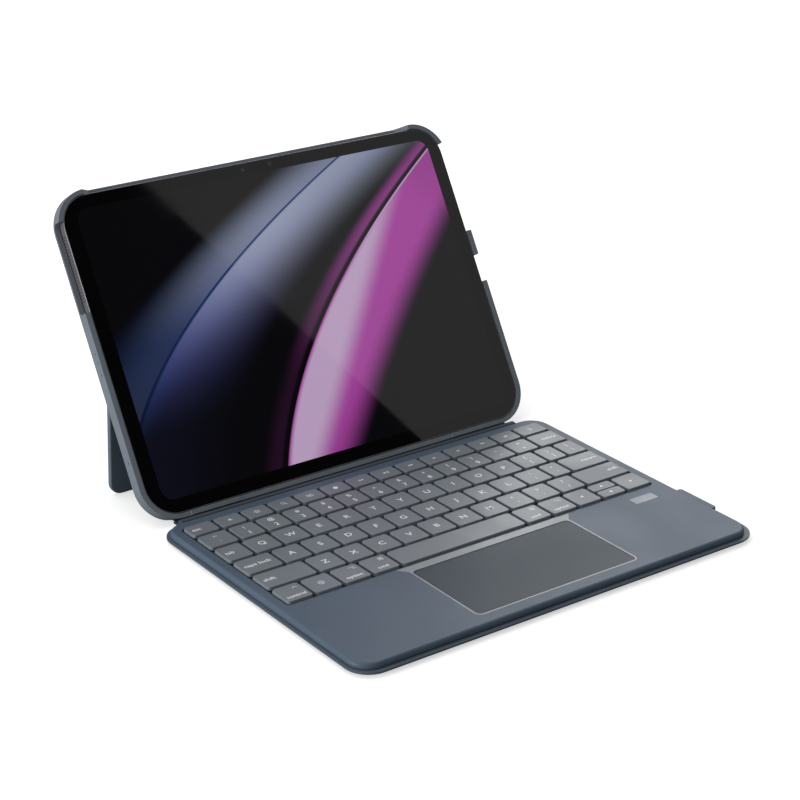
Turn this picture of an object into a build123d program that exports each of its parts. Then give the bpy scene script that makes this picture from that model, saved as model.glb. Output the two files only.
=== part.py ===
from build123d import *
import os
from math import cos, radians, sin, tan

# Tablet keyboard case, standing open on a desk. Millimetres, +X to the right, +Y away from the
# typist, +Z up. The origin is on the desk, under the middle of the keyboard base.
os.makedirs("parts", exist_ok=True)

# ---- clearances -------------------------------------------------------------------------------
gap = 0.3  # between pieces that move past each other
seat_gap = 0.15  # around a piece that drops into a pocket
pin_gap = 0.05  # radial, hinge pin in its barrel
proud = 0.05  # how far a set-in plate stands above the deck

# ---- keyboard base ------------------------------------------------------------------------------
base_width = 256.4
base_depth = 184.6
base_corner = 14.0
foot_height = 1.2
cover_thickness = 1.6
cover_bevel = 0.7
ledge = 2.6  # how far the bottom cover stands out past the deck
deck_height = 3.3
deck_shift = -0.6  # the deck sits a little left on the cover
deck_skin = 1.2
deck_round = 1.9
deck_undercut = 0.5

# ---- keys -----------------------------------------------------------------------------------------
key_rise = 1.2  # cap top above the deck
key_travel = 1.1
cap_height = 1.9
cap_wall = 0.9
cap_pocket = 0.7
cap_corner = 1.9
cap_draft = 8.0
cap_edge = 0.25
key_gap = 2.05
row_gap = 2.35
block_width = 236.4
block_shift = -0.75  # the key block sits a little left of the middle
block_front = -18.3
deep_row = 15.4
number_row = 14.4
function_row = 11.2
letter_pitch = 17.6
number_pitch = 16.64
function_pitch = 16.79
well_margin = 1.2
well_corner = 2.6
web_thickness = 0.5
web_below_deck = 0.9

# ---- trackpad -------------------------------------------------------------------------------------
pad_width = 101.4
pad_depth = 54.2
pad_thickness = 1.0
pad_recess = 0.15
pad_corner = 2.4
pad_shift = 0.9
pad_rear = -25.9
pad_travel_deg = 0.35
trim_width = 1.0
trim_thickness = 0.9
trim_flare = 4.6

# ---- small pieces on the base -------------------------------------------------------------------
badge_width = 15.8
badge_depth = 6.8
badge_thickness = 0.6
badge_x = 102.2
badge_y = -29.7
badge_corner = 0.8
tab_length = 28.0
tab_y = -44.2
tab_stand = 0.8
tab_grip = 1.6  # how far the tab reaches into the deck
tab_height = 2.2
foot_length = 190.0
foot_width = 7.0
foot_inset = 0.5
foot_spread = 74.0
foot_corner = 3.0
screw_head = 1.7
screw_shank = 0.8
screw_length = 2.6
screw_head_height = 0.8
screw_x = 112.0
screw_front_y = -82.0
screw_rear_y = -24.0
screw_middle_x = 67.0
cavity_width = 60.0
cavity_depth = 52.0
cavity_x = 88.5  # hollow under each palm rest, for the board and the magnets
cavity_y = -54.0
cavity_corner = 3.0
cover_pocket = 0.8
magnet_length = 18.0
magnet_width = 3.0
magnet_thickness = 1.1
magnet_y = -76.5
board_width = 52.0
board_depth = 30.0
board_thickness = 0.6
board_y = -52.0

# ---- tablet ----------------------------------------------------------------------------------------
tablet_width = 249.7
tablet_height = 177.5
tablet_thickness = 5.9
tablet_corner = 17.5
tablet_edge_round = 1.1
glass_thickness = 0.6
glass_inset = 0.5
panel_thickness = 0.5
lean = 31.0  # degrees back from upright
tablet_foot_y = 100.2  # lower front edge of the glass

# ---- tray that holds the tablet -------------------------------------------------------------------
tray_wall = 2.9
tray_end_wall = 2.55  # top and bottom walls
tray_clearance = 0.25
tray_depth = 9.4  # from the glass to the back of the tray
tray_lining = 0.4
tray_rim = 0.5  # rim above the glass
tray_round = 3.0
tray_bottom_round = 8.0
lip_rise = 0.7
window_side = 38.0
window_corner = 11.0
window_u = -101.0
window_v = 153.5
back_plate_thickness = 3.3
back_plate_inset = 5.0
back_plate_corner = 15.0

# ---- hinge strip ------------------------------------------------------------------------------------
strip_half = 112.6
strip_bar_height = 4.2
strip_leaf = 0.8
strip_axis_y = 92.2
strip_axis_z = 2.2
strip_bar_depth = 4.1
strip_front_gap = 0.3  # from the hinge axis to the bar
strip_shoulder = 2.2  # height of the bar's rear face
strip_outside = 0.6  # how far its rear fold lies under the tray's bottom wall
strip_fold_depth = 3.4  # how far behind the glass that fold lies
ribbon_width = 26.0
ribbon_thickness = 0.3
ribbon_x = -60.0
ribbon_rise = 0.7
core_height = 1.6
core_rise = 1.3

# ---- kickstand -------------------------------------------------------------------------------------
stand_half = 123.2
stand_thickness = 3.3
stand_gap = 0.25
stand_hinge_v = 73.0
stand_open = 34.2  # degrees open from flat against the back
stand_corner = 7.0
barrel_length = 24.0
barrel_u = 70.0
pin_radius = 0.75
leaf_length = 6.2
stand_foot_round = 0.8

# ---- derived ---------------------------------------------------------------------------------------
cover_top = foot_height + cover_thickness
deck_top = cover_top + deck_height
cap_top = deck_top + key_rise
cap_bottom = cap_top - cap_height
deck_width = base_width - 2 * ledge
deck_depth = base_depth - 2 * ledge
deck_corner = base_corner - ledge
web_top = deck_top - web_below_deck
block_left = block_shift - block_width / 2
block_rear = block_front + 4 * deep_row + number_row + function_row + 5 * row_gap
well_width = block_width + 2 * well_margin
well_depth = block_rear - block_front + 2 * well_margin
well_y = (block_rear + block_front) / 2
pad_y = pad_rear - pad_depth / 2
pad_top = deck_top - pad_recess
trim_outer_w = pad_width + 2 * (gap + trim_width)
trim_outer_d = pad_depth + 2 * (gap + trim_width)

tray_half = tablet_width / 2 + tray_clearance + tray_wall
tray_low = -tray_clearance - tray_end_wall
tray_high = tablet_height - tray_low
tray_corner = tablet_corner + tray_clearance + tray_wall
tray_floor = tablet_thickness + tray_clearance + tray_lining
# The tray's rounded lower back edge stands on the strip's leaf, and that sets the tablet's height.
edge_v = tray_low + tray_bottom_round
edge_w = tray_depth - tray_bottom_round
rest_z = strip_leaf + gap
tablet_foot_z = rest_z + tray_bottom_round - edge_v * cos(radians(lean)) + edge_w * sin(radians(lean))


def leaned(v, w):
    """Row (y, z) of a point v up the glass and w behind it."""
    tilt = radians(lean)
    return (
        tablet_foot_y + v * sin(tilt) + w * cos(tilt),
        tablet_foot_z + v * cos(tilt) - w * sin(tilt),
    )


glass_frame = Plane(
    origin=(0, tablet_foot_y, tablet_foot_z),
    x_dir=(1, 0, 0),
    z_dir=(0, -cos(radians(lean)), sin(radians(lean))),
)
fold_y, fold_z = leaned(tray_low - strip_outside, strip_fold_depth)
stand_axis_w = tray_depth + stand_gap + stand_thickness / 2
stand_axis_y, stand_axis_z = leaned(stand_hinge_v, stand_axis_w)
stand_lean = radians(stand_open - lean)  # beyond upright
# The flap's rounded foot just touches the desk when it stands open.
stand_side = stand_thickness / 2 - stand_foot_round
stand_drop = stand_axis_z - stand_foot_round - stand_side * sin(stand_lean)
stand_reach = stand_foot_round + stand_drop / cos(stand_lean)


def on_glass(shape):
    """Moves a shape drawn on the glass (X right, Y up the glass, Z out of it) into the row."""
    return glass_frame.location * shape


def slab(width, depth, height, corner, x=0.0, y=0.0, z=0.0):
    """Plate with rounded upright corners, standing on z."""
    return Pos(x, y, z) * extrude(RectangleRounded(width, depth, corner), height)


def block(width, depth, height, x=0.0, y=0.0, z=0.0):
    """Plain block centred on x and y, standing on z."""
    return Pos(x, y, z) * Box(width, depth, height, align=(Align.CENTER, Align.CENTER, Align.MIN))


def post(radius, height, x=0.0, y=0.0, z=0.0):
    """Upright cylinder standing on z."""
    return Pos(x, y, z) * Cylinder(radius, height, align=(Align.CENTER, Align.CENTER, Align.MIN))


def rod(radius, length, x=0.0, y=0.0, z=0.0):
    """Cylinder along X, centred on x, y, z."""
    return Pos(x, y, z) * Rot(0, 90, 0) * Cylinder(radius, length)


def outer_edges(shape, top=True):
    """Edges round the highest or the lowest face."""
    face = shape.faces().sort_by(Axis.Z)[-1 if top else 0]
    return face.outer_wire().edges()


def save(shape, name):
    shape.label = name
    export_step(shape, f"parts/{name}.step")


def save_group(shapes, name):
    save(Compound(children=list(shapes)), name)


# ---- where the keys are ----------------------------------------------------------------------------
def spread(widths, left, front, depth):
    """Places keys of the given widths from left to right: (x, y, width, depth) each."""
    places = []
    for width in widths:
        places.append((left + width / 2, front + depth / 2, width, depth))
        left += width + key_gap
    return places


def row_widths(first, count, pitch, after=()):
    """First key, a run of equal keys, any keys after it, and a last one that fills the row."""
    widths = [first] + [pitch - key_gap] * count + list(after)
    used = sum(widths) + key_gap * len(widths)
    return widths + [block_width - used]


bottom_front = block_front
lower_front = bottom_front + deep_row + row_gap
home_front = lower_front + deep_row + row_gap
upper_front = home_front + deep_row + row_gap
number_front = upper_front + deep_row + row_gap
function_front = number_front + number_row + row_gap

function_keys = spread(row_widths(15.8, 12, function_pitch), block_left, function_front, function_row)
number_keys = spread(row_widths(16.7, 12, number_pitch), block_left, number_front, number_row)
upper_keys = spread(row_widths(14.4, 11, letter_pitch, [11.9]), block_left, upper_front, deep_row)
home_keys = spread(row_widths(20.75, 10, letter_pitch, [11.4]), block_left, home_front, deep_row)
lower_keys = spread(row_widths(29.25, 10, letter_pitch), block_left, lower_front, deep_row)
bottom_keys = spread(
    row_widths(14.6, 3, letter_pitch, [79.4, 15.55, 15.7, 15.1, 15.2]), block_left, bottom_front, deep_row
)

split_x, split_y, split_width, _ = bottom_keys[8]
half_depth = (deep_row - 0.9) / 2
arrow_up = (split_x, split_y + (deep_row - half_depth) / 2, split_width, half_depth)
arrow_down = (split_x, split_y - (deep_row - half_depth) / 2, split_width, half_depth)

key_nodes = {
    "key_escape": function_keys[:1],
    "function_keys": function_keys[1:],
    "number_keys": number_keys[:-1],
    "key_delete": number_keys[-1:],
    "key_tab": upper_keys[:1],
    "upper_letter_keys": upper_keys[1:-1],
    "key_backslash": upper_keys[-1:],
    "key_caps_lock": home_keys[:1],
    "home_letter_keys": home_keys[1:-1],
    "key_return": home_keys[-1:],
    "key_left_shift": lower_keys[:1],
    "lower_letter_keys": lower_keys[1:-1],
    "key_right_shift": lower_keys[-1:],
    "key_control": bottom_keys[:1],
    "key_layer": bottom_keys[1:2],
    "key_left_alt": bottom_keys[2:3],
    "key_left_super": bottom_keys[3:4],
    "space_bar": bottom_keys[4:5],
    "key_right_super": bottom_keys[5:6],
    "key_right_alt": bottom_keys[6:7],
    "key_arrow_left": bottom_keys[7:8],
    "key_arrow_up": [arrow_up],
    "key_arrow_down": [arrow_down],
    "key_arrow_right": bottom_keys[9:10],
}
every_key = [key for keys in key_nodes.values() for key in keys]


def key_cap(x, y, width, depth):
    """Key cap: a shallow drafted tray, open underneath, with softened top edges."""
    skirt = cap_height * sin(radians(cap_draft))
    outline = RectangleRounded(width + 2 * skirt, depth + 2 * skirt, cap_corner)
    cap = extrude(outline, cap_height, taper=cap_draft)
    cap = fillet(outer_edges(cap), cap_edge)
    cap -= slab(width - 2 * cap_wall, depth - 2 * cap_wall, cap_pocket, cap_corner / 2)
    return Pos(x, y, cap_bottom) * cap


# ---- base: cover, deck and what is fastened to them ----------------------------------------------
corner_screws = [(x, y) for x in (-screw_x, screw_x) for y in (screw_front_y, screw_rear_y)]
screw_places = corner_screws + [(x, screw_front_y) for x in (-screw_middle_x, screw_middle_x)]
strip_notch_y = deck_depth / 2 - 0.1
foot_rows = (-foot_spread, 0.0, foot_spread)


def screw_hole(x, y):
    """Hole for one screw through the bottom cover, with a sunk seat for its head."""
    hole = post(screw_shank + seat_gap, cover_thickness + 1, x, y, foot_height - 0.5)
    seat = post(screw_head + seat_gap, screw_head_height + seat_gap, x, y, foot_height)
    return hole + seat


def cavities(height, z):
    """The pair of hollows under the palm rests."""
    pair = slab(cavity_width, cavity_depth, height, cavity_corner, -cavity_x, cavity_y, z)
    return pair + slab(cavity_width, cavity_depth, height, cavity_corner, cavity_x, cavity_y, z)


def bottom_cover():
    cover = slab(base_width, base_depth, cover_thickness, base_corner, z=foot_height)
    cover = chamfer(outer_edges(cover, top=False), cover_bevel)
    notch_depth = base_depth / 2 - strip_notch_y + 1
    notch_y = strip_notch_y + notch_depth / 2
    cover -= block(2 * (strip_half + 2 * gap), notch_depth, 4, 0, notch_y, foot_height - 1)
    cover -= cavities(cover_pocket + 1, cover_top - cover_pocket)
    slot_length = foot_length + 2 * seat_gap
    slot_width = foot_width + 2 * seat_gap
    for y in foot_rows:
        cover -= slab(slot_length, slot_width, foot_inset, foot_corner + seat_gap, 0, y, foot_height)
    for x, y in screw_places:
        cover -= screw_hole(x, y)
    return cover


def side_tab():
    """Grip on the right edge, over the closing magnet."""
    width = ledge - deck_shift + tab_stand + tab_grip
    x = base_width / 2 + tab_stand - width / 2
    tab = slab(width, tab_length, tab_height, 1.9, x, tab_y, cover_top)
    return fillet(outer_edges(tab), 0.6)


def trim_outline():
    """Ring round the trackpad that widens into the band below the keys, with flared shoulders."""
    outer_corner = pad_corner + gap + trim_width
    ring = Pos(pad_shift, pad_y) * RectangleRounded(trim_outer_w, trim_outer_d, outer_corner)
    band_front = pad_rear + gap
    band_rear = block_front - well_margin - 2 * gap
    half = trim_outer_w / 2
    band = Pos(pad_shift, 0) * Polygon(
        (-half, band_front - 3),
        (half, band_front - 3),
        (half, band_front),
        (half + trim_flare, band_rear),
        (-half - trim_flare, band_rear),
        (-half, band_front),
        align=None,
    )
    hole = RectangleRounded(pad_width + 2 * gap, pad_depth + 2 * gap, pad_corner + gap)
    return ring + band - Pos(pad_shift, pad_y) * hole


def trackpad_trim():
    trim = extrude(trim_outline(), trim_thickness)
    return Pos(0, 0, deck_top - trim_thickness + proud) * trim


def top_deck():
    deck = slab(deck_width, deck_depth, deck_height, deck_corner, deck_shift, 0, cover_top)
    deck = fillet(outer_edges(deck), deck_round)
    deck = chamfer(outer_edges(deck, top=False), deck_undercut)
    deck -= slab(well_width, well_depth, deck_height + 2, well_corner, block_shift, well_y, cover_top - 1)
    window = RectangleRounded(pad_width + 2 * gap, pad_depth + 2 * gap, pad_corner + gap)
    deck -= Pos(pad_shift, pad_y, cover_top - 1) * extrude(window, deck_height + 2)
    deck -= Pos(0, 0, deck_top - trim_thickness) * extrude(trim_outline(), trim_thickness + 1)
    deck -= cavities(deck_height - deck_skin + 1, cover_top - 1)
    screw_top = foot_height + seat_gap + screw_length
    for x, y in screw_places:
        deck -= post(screw_shank, screw_top + seat_gap - cover_top + 1, x, y, cover_top - 1)
    pocket_width = badge_width + 2 * seat_gap
    pocket_depth = badge_depth + 2 * seat_gap
    deck -= slab(pocket_width, pocket_depth, 1, badge_corner, badge_x, badge_y, deck_top - badge_thickness)
    deck -= side_tab()
    return deck


def badge():
    height = badge_thickness + proud
    return slab(badge_width, badge_depth, height, badge_corner, badge_x, badge_y, deck_top - badge_thickness)


def foot_strip(y):
    foot = slab(foot_length, foot_width, foot_height + foot_inset, foot_corner, 0, y, 0)
    return fillet(outer_edges(foot, top=False), 0.4)


def cover_screw(x, y):
    head_z = foot_height + seat_gap
    return post(screw_head, screw_head_height, x, y, head_z) + post(screw_shank, screw_length, x, y, head_z)


def key_web():
    """Black moulded grid between the caps, with one opening for each."""
    web = RectangleRounded(well_width - 2 * seat_gap, well_depth - 2 * seat_gap, well_corner)
    grid = Pos(block_shift, well_y) * web
    skirt = cap_height * sin(radians(cap_draft))
    for x, y, width, depth in every_key:
        around = 2 * (skirt + gap)
        grid -= Pos(x, y) * RectangleRounded(width + around, depth + around, cap_corner)
    return Pos(0, 0, web_top - web_thickness) * extrude(grid, web_thickness)


backplate_z = cover_top
backplate_thickness = 0.4
membrane_thickness = 0.25
dome_radius = 2.4
dome_taper = 0.6
pocket_wall = 0.8
membrane_z = backplate_z + backplate_thickness
dome_z = membrane_z + membrane_thickness
dome_height = cap_bottom + cap_pocket - key_travel - dome_z - seat_gap
support_width = well_width - 2 * seat_gap
support_depth = well_depth - 2 * seat_gap


def support_sheet(thickness, z):
    return slab(support_width, support_depth, thickness, well_corner, block_shift, well_y, z)


def rubber_dome(x, y, width, depth):
    radius = min(dome_radius, depth / 2 - 2 * pocket_wall)
    align = (Align.CENTER, Align.CENTER, Align.MIN)
    return Pos(x, y, dome_z) * Cone(radius, radius * dome_taper, dome_height, align=align)


def trackpad_plate():
    plate = slab(pad_width, pad_depth, pad_thickness, pad_corner, pad_shift, pad_y, pad_top - pad_thickness)
    return fillet(outer_edges(plate), 0.2)


pad_drop = pad_depth * sin(radians(pad_travel_deg))
frame_wall = 1.5
frame_floor = 0.5


def trackpad_frame():
    """Shallow steel pan under the trackpad, with the leaf that the pad bends on."""
    height = pad_top - pad_thickness - pad_drop - seat_gap - cover_top
    frame = slab(pad_width - 2, pad_depth - 2, height, pad_corner, pad_shift, pad_y, cover_top)
    inner = 2 + 2 * frame_wall
    floor = cover_top + frame_floor
    frame -= slab(pad_width - inner, pad_depth - inner, height, pad_corner / 2, pad_shift, pad_y, floor)
    return frame


def trackpad_switch():
    z = cover_top + frame_floor
    height = pad_top - pad_thickness - pad_drop - seat_gap - z
    return slab(8, 5, height, 1.0, pad_shift, pad_rear - pad_depth + 8, z)


def controller_board():
    z = cover_top - cover_pocket + proud
    top = z + board_thickness
    board = slab(board_width, board_depth, board_thickness, 1.5, cavity_x, board_y, z)
    board += block(9, 9, 0.9, cavity_x - 12, board_y + 2, top)
    board += block(6, 5, 0.8, cavity_x + 8, board_y - 4, top)
    board += block(14, 3, 0.9, cavity_x + 3, board_y + 10, top)
    return board


def closing_magnet(x, y):
    return slab(magnet_length, magnet_width, magnet_thickness, 0.5, x, y, cover_top - cover_pocket + proud)


# ---- hinge strip ------------------------------------------------------------------------------------
bar_front = strip_axis_y + strip_front_gap
bar_rear = bar_front + strip_bar_depth
inside_y = (bar_front + bar_rear) / 2


def strip_profile():
    """Side view of the strip (Y, Z): a rounded bar, then a thin leaf that runs under the tray."""
    slant = (strip_bar_height - strip_shoulder) * tan(radians(lean))
    bar = Polygon(
        (bar_front, 0),
        (bar_rear, 0),
        (bar_rear, strip_shoulder),
        (bar_rear - slant, strip_bar_height),
        (bar_front, strip_bar_height),
        align=None,
    )
    leaf = Polygon(
        (bar_rear - 1, 0),
        (fold_y, 0),
        (fold_y, strip_leaf),
        (bar_rear - 1, strip_leaf),
        align=None,
    )
    return bar + leaf


def along_x(profile, half):
    """Extrudes a (Y, Z) profile from -half to half along X."""
    plane = Plane(origin=(-half, 0, 0), x_dir=(0, 1, 0), z_dir=(1, 0, 0))
    return extrude(plane * profile, 2 * half, dir=(1, 0, 0))


def hinge_strip():
    strip = along_x(strip_profile(), strip_half)
    strip -= strip_core(proud)
    strip -= hinge_ribbon(proud)
    return strip


def strip_core(extra):
    """Flat steel bar inside the strip, or with extra its slot."""
    width = 2 * strip_half - 16 + 2 * extra
    depth = strip_bar_depth - 2.2 + 2 * extra
    return block(width, depth, core_height + 2 * extra, 0, inside_y - 0.3, core_rise - extra)


def hinge_ribbon(extra):
    """Flexible circuit under the bar, or with extra its slot."""
    depth = strip_bar_depth - 1.4 + 2 * extra
    height = ribbon_thickness + 2 * extra
    return block(ribbon_width + 2 * extra, depth, height, ribbon_x, inside_y, ribbon_rise - extra)


# ---- tray --------------------------------------------------------------------------------------------
def tablet_blank(grow, low, high):
    """Tablet outline grown by a clearance, from low to high behind (-) or before (+) the glass."""
    outline = RectangleRounded(tablet_width + 2 * grow, tablet_height + 2 * grow, tablet_corner + grow)
    return Pos(0, tablet_height / 2, low) * extrude(outline, high - low)


left_cut = (114.9, 165.3)
right_cut = (111.7, 166.0)
port_cut = (80.6, 96.8)
top_cut = (-109.0, 107.5)
lip_spans = ((-103.0, -72.7), (71.0, 105.0))
vent_rows = (93.0, 88.0, 81.0, 32.6)
vent_radius = 0.5
vent_depth = 2.6
side_cut_depth = 5.6
deep_cut_depth = tray_floor - 0.6


def side_cut(side, low, high, depth):
    """Opening in a side wall from low to high up the tablet, down to depth behind the glass."""
    middle = (low + high) / 2
    length = high - low
    u = side * (tray_half - tray_wall / 2)
    opening = block(tray_wall + 2, length, depth + 4, u, middle, -depth)
    return fillet(opening.edges().filter_by(Axis.X).sort_by(Axis.Z)[:2], min(1.4, depth / 2))


def tray_section():
    """Side view of the tray (v, n) with its well-rounded lower back edge."""
    outline = Polygon(
        (tray_low, tray_rim),
        (tray_high, tray_rim),
        (tray_high, -tray_depth),
        (tray_low, -tray_depth),
        align=None,
    )
    corner = outline.vertices().sort_by(Axis.X)[:2].sort_by(Axis.Y)[0]
    return fillet(corner, tray_bottom_round)


def back_shell():
    middle = (tray_low + tray_high) / 2
    thick = tray_depth + tray_rim
    shell = slab(2 * tray_half, tray_high - tray_low, thick, tray_corner, 0, middle, -tray_depth)
    shell = fillet(outer_edges(shell, top=False), tray_round)
    shell &= along_x(tray_section(), tray_half + 1)
    shell -= tablet_blank(tray_clearance, -tablet_thickness - tray_clearance - tray_lining, tray_rim + 1)
    for low, high in lip_spans:
        shell += bottom_lip(low, high)
    shell -= side_cut(-1, *left_cut, side_cut_depth)
    shell -= side_cut(1, *right_cut, side_cut_depth)
    shell -= side_cut(1, *port_cut, deep_cut_depth)
    top_width = top_cut[1] - top_cut[0]
    top_middle = (top_cut[1] + top_cut[0]) / 2
    slope = tray_floor + tray_rim
    wedge = Polygon(
        (-top_width / 2, 1),
        (top_width / 2, 1),
        (top_width / 2 - slope, -deep_cut_depth),
        (-top_width / 2 + slope, -deep_cut_depth),
        align=None,
    )
    front = Plane(origin=(top_middle, tray_high + 1, 0), x_dir=(1, 0, 0), z_dir=(0, -1, 0))
    shell -= extrude(front * wedge, tray_high - tablet_height + 8, dir=(0, -1, 0))
    shell -= camera_window(0.0)
    for v in vent_rows:
        shell -= rod(vent_radius, tray_wall + 2, -tray_half + tray_wall / 2, v, -vent_depth)
    shell -= contact_pocket(seat_gap)
    pad = magnet_pad + 2 * seat_gap
    for u, v in tray_magnet_places:
        shell -= slab(pad, pad, magnet_pad_height + 1, 1, u, v, -tray_floor - magnet_pad_height - proud)
    return shell


def bottom_lip(low, high):
    """Raised stretch of the bottom wall, in front of the lower edge of the tablet."""
    v = -tray_clearance - tray_end_wall / 2
    lip = block(high - low, tray_end_wall, lip_rise, (low + high) / 2, v, tray_rim - 0.25)
    return fillet(outer_edges(lip), 0.3)


def camera_window(shrink):
    side = window_side - 2 * shrink
    return slab(side, side, 12, window_corner - shrink, window_u, window_v, -tray_depth - 5)


magnet_pad = 9.0
magnet_pad_height = 0.9
tray_magnet_places = [(u, v) for u in (-96, 96) for v in (22, 110)]
contact_v = 21.0
contact_width = 22.0
contact_depth = 7.0
contact_height = 1.6
contact_pitch = 5.0
contact_radius = 0.75
contact_sink = 1.0
contact_places = (-contact_pitch, 0.0, contact_pitch)


def contact_pocket(extra):
    width = contact_width + 2 * extra
    depth = contact_depth + 2 * extra
    return slab(width, depth, contact_height + 2 * seat_gap, 2, 0, contact_v, -tray_floor - contact_height)


def contact_block():
    holder = slab(contact_width, contact_depth, contact_height, 1.9, 0, contact_v, -tray_floor - contact_height)
    for u in contact_places:
        holder -= post(contact_radius, 2 * contact_sink, u, contact_v, -tray_floor - contact_sink)
    return holder


def contact_pin(u):
    return post(contact_radius, contact_sink, u, contact_v, -tray_floor - contact_sink)


def tray_magnet(u, v):
    return slab(magnet_pad, magnet_pad, magnet_pad_height, 0.9, u, v, -tray_floor - magnet_pad_height)


def shell_lining():
    lining = tablet_blank(0.0, -tray_floor + 0.02, -tray_floor + tray_lining - 0.02)
    lining -= camera_window(-0.5)
    lining -= contact_pocket(gap)
    return lining


def back_plate():
    """Upper outer panel on the back, above the kickstand."""
    low = stand_hinge_v + stand_thickness / 2 + 2 * gap
    height = tray_high - back_plate_inset - low
    z = -tray_depth - back_plate_thickness
    plate = slab(2 * stand_half, 2 * height, back_plate_thickness, back_plate_corner, 0, low, z)
    plate &= block(2 * stand_half, height, back_plate_thickness, 0, low + height / 2, z)
    plate = fillet(outer_edges(plate, top=False), 0.6)
    plate -= camera_window(-1.2)
    for u in (-barrel_u, barrel_u):
        plate -= block(barrel_length + 2 * gap, 2 * (leaf_length + gap), 6, u, stand_hinge_v, z - 1)
    return plate


# ---- kickstand --------------------------------------------------------------------------------------
# Drawn flat against the back: origin on the hinge axis, X right, Y down the flap, Z away from the tray.
def stand_panel():
    length = stand_reach
    flap = slab(2 * stand_half, 2 * length, stand_thickness, stand_corner, 0, 0, -stand_thickness / 2)
    foot = flap.edges().filter_by(Axis.X).sort_by(Axis.Y)[-2:]
    flap = fillet(foot, stand_foot_round)
    flap &= block(2 * stand_half, length, stand_thickness, 0, length / 2, -stand_thickness / 2)
    flap += rod(stand_thickness / 2, 2 * stand_half)
    for u in (-barrel_u, barrel_u):
        flap -= block(barrel_length + 2 * gap, 9, 6, u, -0.8, -3)
        flap -= hinge_pin(u)
    return flap


def fixed_barrel(u):
    """Fixed knuckle of one friction hinge, with the leaf that lies on the tray's back."""
    back = stand_gap + stand_thickness / 2
    barrel = rod(stand_thickness / 2, barrel_length, u)
    barrel += block(barrel_length, leaf_length, back - proud, u, -leaf_length / 2, -back)
    barrel -= rod(pin_radius + pin_gap, barrel_length + 2, u)
    return barrel


def hinge_pin(u):
    return rod(pin_radius, barrel_length + 10, u)


def flap_frame(open_deg):
    """Location of the flap's own frame when it stands open by open_deg."""
    turn = lean - open_deg  # degrees of the flap from hanging upright, towards the tray
    away = (0, cos(radians(turn)), -sin(radians(turn)))
    return Plane(origin=(0, stand_axis_y, stand_axis_z), x_dir=(1, 0, 0), z_dir=away).location


# ---- tablet ------------------------------------------------------------------------------------------
def tablet_body():
    body = tablet_blank(0.0, -tablet_thickness, -0.1)
    body = fillet(outer_edges(body, top=False), tablet_edge_round)
    body = fillet(outer_edges(body), 0.35)
    body -= tablet_blank(-glass_inset + 0.02, -glass_thickness - panel_thickness - 0.04, 1)
    port_floor = -(tablet_thickness + port_height) / 2
    body -= block(6, port_length, port_height, tablet_width / 2, port_v, port_floor)
    for u, length in button_places.values():
        body -= button_blank(u, length, gap, gap + button_travel)
    return body


port_v = 88.7
port_length = 9.4
port_height = 2.9
button_width = 1.9
button_height = 1.6
button_rise = 0.4
button_travel = 0.3
button_places = {
    "volume_up": (-87.0, 11.0),
    "volume_down": (-73.0, 11.0),
    "power_button": (88.0, 12.0),
}


def button_blank(u, length, extra, sink):
    """Pill-shaped key in the tablet's top edge, or with extra and sink its pocket."""
    width = button_width + 2 * extra
    pill = slab(length + 2 * extra, width, button_height + sink, width / 2 - 0.01)
    floor = tablet_height + button_rise - button_height - sink
    stand = Plane(origin=(u, floor, -tablet_thickness / 2), x_dir=(1, 0, 0), z_dir=(0, 1, 0))
    return stand.location * pill


def glass():
    return tablet_blank(-glass_inset, -glass_thickness, 0.0)


def display_panel():
    return tablet_blank(-glass_inset - 0.1, -glass_thickness - panel_thickness, -glass_thickness - 0.02)


def camera_housing():
    z = -tablet_thickness - housing_height
    bump = slab(housing_side, housing_side, housing_height, housing_corner, window_u, window_v, z)
    bump = fillet(outer_edges(bump, top=False), 0.5)
    for du, dv in lens_places:
        bump -= post(lens_radius, lens_height + seat_gap, window_u + du, window_v + dv, z)
    return bump


housing_side = 30.0
housing_height = 1.3
housing_corner = 8.0
lens_radius = 4.5
lens_height = 0.9
lens_places = ((-6.2, 6.2), (6.2, -6.2))


def camera_lens(du, dv):
    z = -tablet_thickness - housing_height + seat_gap
    return post(lens_radius, lens_height, window_u + du, window_v + dv, z)


# ---- write every piece ------------------------------------------------------------------------------
print("tablet foot z", round(tablet_foot_z, 3), "tray low", round(tray_low, 3))
print("strip axis", strip_axis_y, strip_axis_z, "fold", round(fold_y, 4), round(fold_z, 4))
print("stand axis", round(stand_axis_y, 4), round(stand_axis_z, 4), "reach", round(stand_reach, 3))
print("deck top", round(deck_top, 3), "cap top", round(cap_top, 3), "dome height", round(dome_height, 3))

save(bottom_cover(), "bottom_cover")
save(top_deck(), "top_deck")
save(side_tab(), "side_tab")
save(badge(), "blank_badge")
save(trackpad_trim(), "trackpad_trim")
save(trackpad_plate(), "trackpad_plate")
save(trackpad_frame(), "trackpad_frame")
save(trackpad_switch(), "trackpad_switch")
save(controller_board(), "controller_board")
save_group([closing_magnet(x, magnet_y) for x in (-cavity_x, cavity_x)], "closing_magnets")
save_group([foot_strip(y) for y in foot_rows], "foot_strips")
save_group([cover_screw(x, y) for x, y in screw_places], "cover_screws")
save(key_web(), "key_web")
save(support_sheet(backplate_thickness, backplate_z), "key_backplate")
save(support_sheet(membrane_thickness, membrane_z), "switch_membrane")
save_group([rubber_dome(*key) for key in every_key], "switch_domes")
for node, keys in key_nodes.items():
    save_group([key_cap(*key) for key in keys], node)

save(hinge_strip(), "hinge_strip")
save(strip_core(0.0), "strip_core")
save(hinge_ribbon(0.0), "hinge_ribbon")

save(on_glass(back_shell()), "back_shell")
save(on_glass(shell_lining()), "shell_lining")
save(on_glass(back_plate()), "back_plate")
save(on_glass(contact_block()), "contact_block")
save_group([on_glass(contact_pin(u)) for u in contact_places], "contact_pins")
save_group([on_glass(tray_magnet(*place)) for place in tray_magnet_places], "tray_magnets")

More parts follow.
